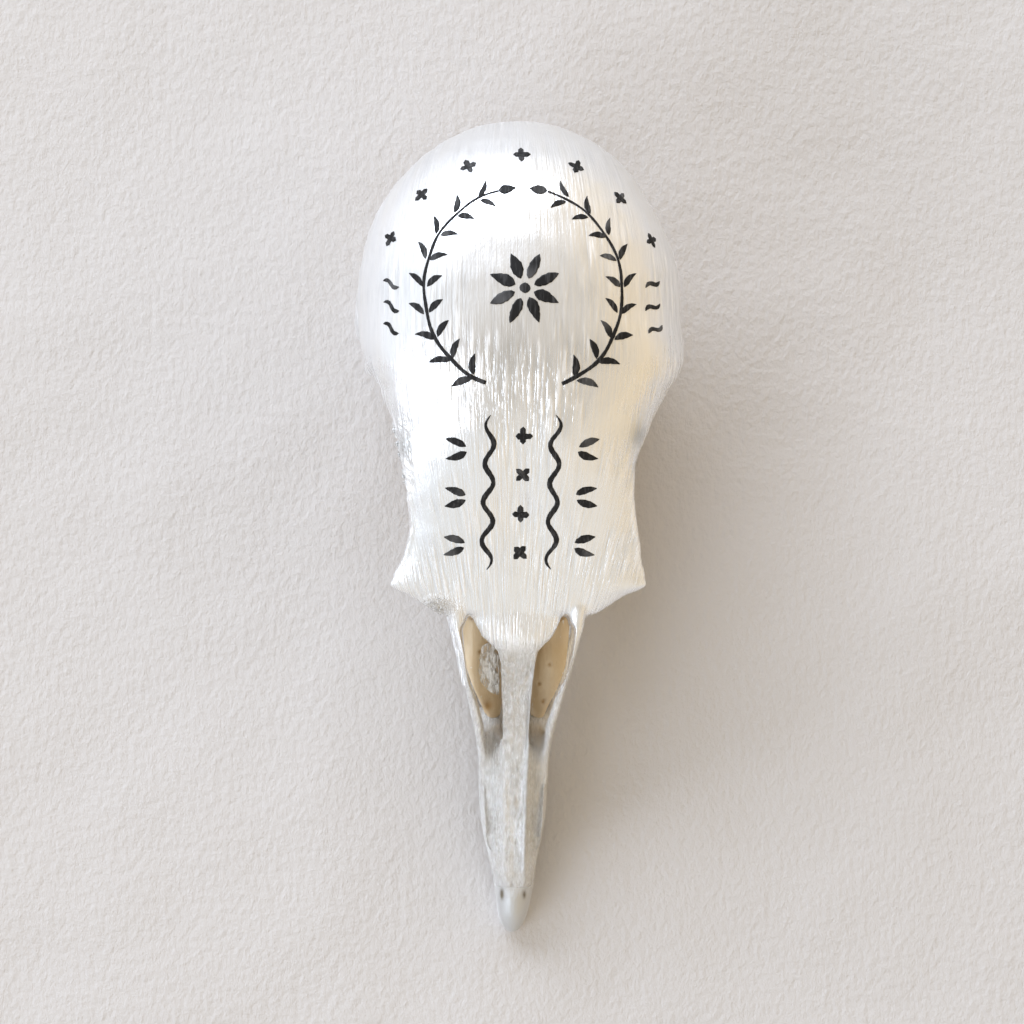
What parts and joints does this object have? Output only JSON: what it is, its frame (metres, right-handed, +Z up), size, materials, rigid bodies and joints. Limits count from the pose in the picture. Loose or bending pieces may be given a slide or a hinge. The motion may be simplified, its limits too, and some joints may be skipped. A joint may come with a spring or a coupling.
{
  "type": "dove skull",
  "caption": "Life-size dove skull without its lower jaw: domed braincase, wide open orbits and a slender upper bill, as cleaned bone under brushed pearl paint with black ink marks.",
  "frame": {"origin": "centre of the underside of the bounding box, on the surface that the skull stands on", "axes": "+Z up, -Y towards the tip of the bill, +X towards the bird's left side"},
  "size_m": [0.0182, 0.045, 0.0164],
  "materials": {
    "pearl_paint": "bone under brushed pearl paint, satin with a slight metallic sheen",
    "bare_bone": "unpainted tan bone, matte and finely pitted",
    "black_ink": "black pen ink, matte"
  },
  "bodies": {
    "root": {"braincase": "pearl_paint", "frontals": "pearl_paint", "interorbital_septum": "bare_bone", "upper_bill": "pearl_paint", "lacrimal_left": "pearl_paint", "lacrimal_right": "pearl_paint", "maxillopalatine_left": "bare_bone", "maxillopalatine_right": "bare_bone", "jugal_bar_left": "pearl_paint", "jugal_bar_right": "pearl_paint", "quadrate_left": "pearl_paint", "quadrate_right": "pearl_paint", "palatine_left": "pearl_paint", "palatine_right": "pearl_paint", "pterygoid_left": "pearl_paint", "pterygoid_right": "pearl_paint"}
  },
  "joints": []
}
